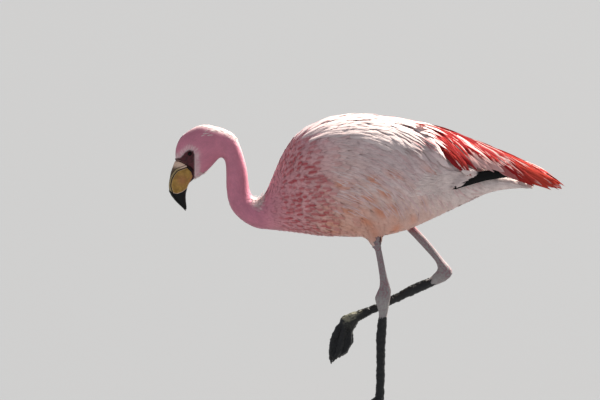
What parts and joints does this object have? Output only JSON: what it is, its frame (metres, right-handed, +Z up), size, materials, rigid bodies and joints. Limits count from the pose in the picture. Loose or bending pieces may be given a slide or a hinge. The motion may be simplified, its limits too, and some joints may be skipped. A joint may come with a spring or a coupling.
{
  "type": "james's flamingo",
  "caption": "Still life-size flamingo wading on one leg, the other leg drawn up behind it, head bowed with the bill pointing down.",
  "frame": {"origin": "on the ground, under the heel pad of the standing left foot", "axes": "+X from bill to tail, +Y to the bird's right side, +Z up"},
  "size_m": [0.6807, 0.1608, 0.5127],
  "materials": {
    "pink_plumage": "matte rose-pink feathers, paler on the back and tail",
    "red_plumage": "long satin crimson feathers with pale edges",
    "black_plumage": "matte black flight feathers",
    "face_skin": "bare dark maroon skin, matte",
    "yellow_horn": "satin ochre-yellow horn",
    "black_horn": "satin black horn",
    "eye": "wet dark eye",
    "leg_skin": "scaly dull maroon-grey skin, dried dark mud below",
    "claw_horn": "dull dark horn"
  },
  "bodies": {
    "root": {"head": "pink_plumage", "neck_upper": "pink_plumage", "neck_middle": "pink_plumage", "neck_lower": "pink_plumage", "trunk": "pink_plumage", "wing_left": "pink_plumage", "wing_right": "pink_plumage", "thigh_left": "pink_plumage", "thigh_right": "pink_plumage", "tail": "pink_plumage", "tertials_left": "red_plumage", "tertials_right": "red_plumage", "primaries_left": "black_plumage", "primaries_right": "black_plumage", "face": "face_skin", "upper_bill": "yellow_horn", "lower_bill": "yellow_horn", "upper_bill_tip": "black_horn", "lower_bill_tip": "black_horn", "eye_left": "eye", "eye_right": "eye", "shank_left": "leg_skin", "shank_right": "leg_skin", "tarsus_left": "leg_skin", "tarsus_right": "leg_skin", "foot_left": "leg_skin", "foot_right": "leg_skin", "claw_left_outer": "claw_horn", "claw_left_middle": "claw_horn", "claw_left_inner": "claw_horn", "claw_right_outer": "claw_horn", "claw_right_middle": "claw_horn", "claw_right_inner": "claw_horn"}
  },
  "joints": []
}
